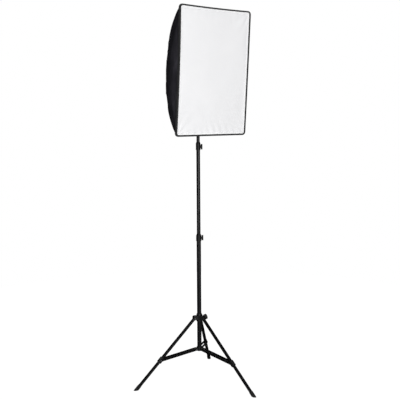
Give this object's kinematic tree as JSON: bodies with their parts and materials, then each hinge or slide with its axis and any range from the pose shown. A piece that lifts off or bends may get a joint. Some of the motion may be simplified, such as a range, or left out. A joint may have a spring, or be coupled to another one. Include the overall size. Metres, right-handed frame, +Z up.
{
  "type": "studio softbox on light stand",
  "caption": "Rectangular softbox with white front diffuser, lamp holder and spiral lamp, on a telescoping light stand with folding tripod legs.",
  "frame": {"origin": "on the floor, on the axis of the mast, midway between the three feet", "axes": "+Z up along the mast; -Y the way the lit face looks at swivel zero; +X to the right of someone facing the lit side"},
  "size_m": [0.7006, 0.6872, 2.1804],
  "materials": {
    "tube_black": "satin black anodised tube",
    "plastic_black": "moulded, fine grain",
    "rubber_black": "matte",
    "steel_black": "black powder coat",
    "steel_bright": "zinc plated",
    "fabric_black": "black coated nylon, silver inside",
    "binding_grey": "woven edge tape",
    "fabric_white": "white diffusion cloth",
    "elastic_black": "elastic webbing",
    "holder_plastic": "moulded, fine grain",
    "ceramic_white": "glazed",
    "brass": "plain",
    "cap_metal": "rolled thread",
    "lamp_plastic": "white",
    "lamp_tube": "white phosphor coated"
  },
  "bodies": {
    "column": {"column_tube": "tube_black", "column_end_plug": "plastic_black", "base_collar": "plastic_black", "lower_lock_collar": "plastic_black"},
    "lower_knob": {"lower_lock_knob": "plastic_black"},
    "hub": {"leg_hub": "plastic_black", "leg_pivot_pins": "steel_bright"},
    "hub_knob": {"hub_lock_knob": "plastic_black"},
    "leg_1": {"leg_knuckle_1": "plastic_black", "leg_tube_1": "tube_black", "leg_clip_1": "plastic_black", "leg_foot_1": "rubber_black"},
    "leg_2": {"leg_knuckle_2": "plastic_black", "leg_tube_2": "tube_black", "leg_clip_2": "plastic_black", "leg_foot_2": "rubber_black"},
    "leg_3": {"leg_knuckle_3": "plastic_black", "leg_tube_3": "tube_black", "leg_clip_3": "plastic_black", "leg_foot_3": "rubber_black"},
    "brace_1": {"brace_strips_1": "steel_black", "brace_rivets_1": "steel_bright"},
    "brace_2": {"brace_strips_2": "steel_black", "brace_rivets_2": "steel_bright"},
    "brace_3": {"brace_strips_3": "steel_black", "brace_rivets_3": "steel_bright"},
    "mid_mast": {"mid_tube": "tube_black", "mid_tube_bush": "plastic_black", "upper_lock_collar": "plastic_black"},
    "upper_knob": {"upper_lock_knob": "plastic_black"},
    "top_mast": {"top_tube": "tube_black", "top_tube_bush": "plastic_black", "spigot": "steel_bright"},
    "swivel": {"swivel_socket": "steel_black"},
    "swivel_clamp": {"swivel_knob": "plastic_black"},
    "head": {"mounting_arm": "steel_black", "tilt_bolt": "steel_bright", "holder_upper": "holder_plastic", "holder_lower": "holder_plastic", "holder_screws": "steel_bright", "rod_hub": "plastic_black", "rear_cuff": "elastic_black", "frame_rods": "steel_black", "rod_end_caps": "plastic_black", "canopy_left": "fabric_black", "canopy_right": "fabric_black", "canopy_top": "fabric_black", "canopy_bottom": "fabric_black", "front_binding": "binding_grey", "diffuser": "fabric_white", "lamp_socket": "ceramic_white", "socket_thread": "brass", "bulb_cap": "cap_metal", "bulb_ballast": "lamp_plastic", "bulb_spiral": "lamp_tube", "switch_frame": "holder_plastic", "power_inlet": "holder_plastic", "inlet_pins": "brass"},
    "tilt_clamp": {"tilt_knob": "plastic_black"},
    "rocker": {"switch_rocker": "holder_plastic"}
  },
  "joints": [
    {"name": "hub_slide", "type": "slide", "parent": "column", "child": "hub", "axis": [0, 0, 1], "range_m": [0, 0.3517]},
    {"name": "leg_1_fold", "type": "hinge", "parent": "hub", "child": "leg_1", "pos_m": [0.02234, 0.02076, 0.39], "axis": [-0.6807, 0.7325, 0], "range_deg": [-1, 42.3]},
    {"name": "brace_1_fold", "type": "hinge", "parent": "column", "child": "brace_1", "pos_m": [0.01575, 0.01464, 0.2015], "axis": [-0.6807, 0.7325, 0], "range_deg": [-96.2, 1]},
    {"name": "leg_2_fold", "type": "hinge", "parent": "hub", "child": "leg_2", "pos_m": [-0.02915, 0.00897, 0.39], "axis": [-0.294, -0.9558, 0], "range_deg": [-1, 42.3]},
    {"name": "brace_2_fold", "type": "hinge", "parent": "column", "child": "brace_2", "pos_m": [-0.02055, 0.00632, 0.2015], "axis": [-0.294, -0.9558, 0], "range_deg": [-96.2, 1]},
    {"name": "leg_3_fold", "type": "hinge", "parent": "hub", "child": "leg_3", "pos_m": [0.00681, -0.02973, 0.39], "axis": [0.9748, 0.2233, 0], "range_deg": [-1, 42.3]},
    {"name": "brace_3_fold", "type": "hinge", "parent": "column", "child": "brace_3", "pos_m": [0.0048, -0.02096, 0.2015], "axis": [0.9748, 0.2233, 0], "range_deg": [-96.2, 1]},
    {"name": "mast_lower_slide", "type": "slide", "parent": "column", "child": "mid_mast", "axis": [0, 0, 1], "range_m": [-0.49, 0.03]},
    {"name": "mast_upper_slide", "type": "slide", "parent": "mid_mast", "child": "top_mast", "axis": [0, 0, 1], "range_m": [-0.04, 0.22]},
    {"name": "head_swivel", "type": "hinge", "parent": "top_mast", "child": "swivel", "pos_m": [0, 0, 1.69], "axis": [0, 0, 1], "continuous": true},
    {"name": "head_tilt", "type": "hinge", "parent": "swivel", "child": "head", "pos_m": [0, 0, 1.754], "axis": [1, 0, 0], "range_deg": [-20, 15]},
    {"name": "lower_knob_turn", "type": "hinge", "parent": "column", "child": "lower_knob", "pos_m": [0, 0, 0.877], "axis": [0.788, -0.6157, 0], "continuous": true},
    {"name": "upper_knob_turn", "type": "hinge", "parent": "mid_mast", "child": "upper_knob", "pos_m": [0, 0, 1.412], "axis": [0.788, -0.6157, 0], "continuous": true},
    {"name": "hub_knob_turn", "type": "hinge", "parent": "hub", "child": "hub_knob", "pos_m": [0, 0, 0.383], "axis": [0.9232, -0.284, 0.2588], "continuous": true},
    {"name": "swivel_clamp_turn", "type": "hinge", "parent": "swivel", "child": "swivel_clamp", "pos_m": [0, 0, 1.692], "axis": [1, 0, 0], "continuous": true},
    {"name": "tilt_clamp_turn", "type": "hinge", "parent": "head", "child": "tilt_clamp", "pos_m": [0, 0, 1.754], "axis": [1, 0, 0], "continuous": true},
    {"name": "power_rocker", "type": "hinge", "parent": "head", "child": "rocker", "pos_m": [0, 0.21904, 1.86856], "axis": [1, 0, 0], "range_deg": [0, 18]}
  ],
  "couplings": [
    {"joint": "leg_1_fold", "follows": "hub_slide", "rad_per_m": 2.0743},
    {"joint": "brace_1_fold", "follows": "hub_slide", "rad_per_m": -4.7493},
    {"joint": "leg_2_fold", "follows": "hub_slide", "rad_per_m": 2.0743},
    {"joint": "brace_2_fold", "follows": "hub_slide", "rad_per_m": -4.7493},
    {"joint": "leg_3_fold", "follows": "hub_slide", "rad_per_m": 2.0743},
    {"joint": "brace_3_fold", "follows": "hub_slide", "rad_per_m": -4.7493}
  ]
}
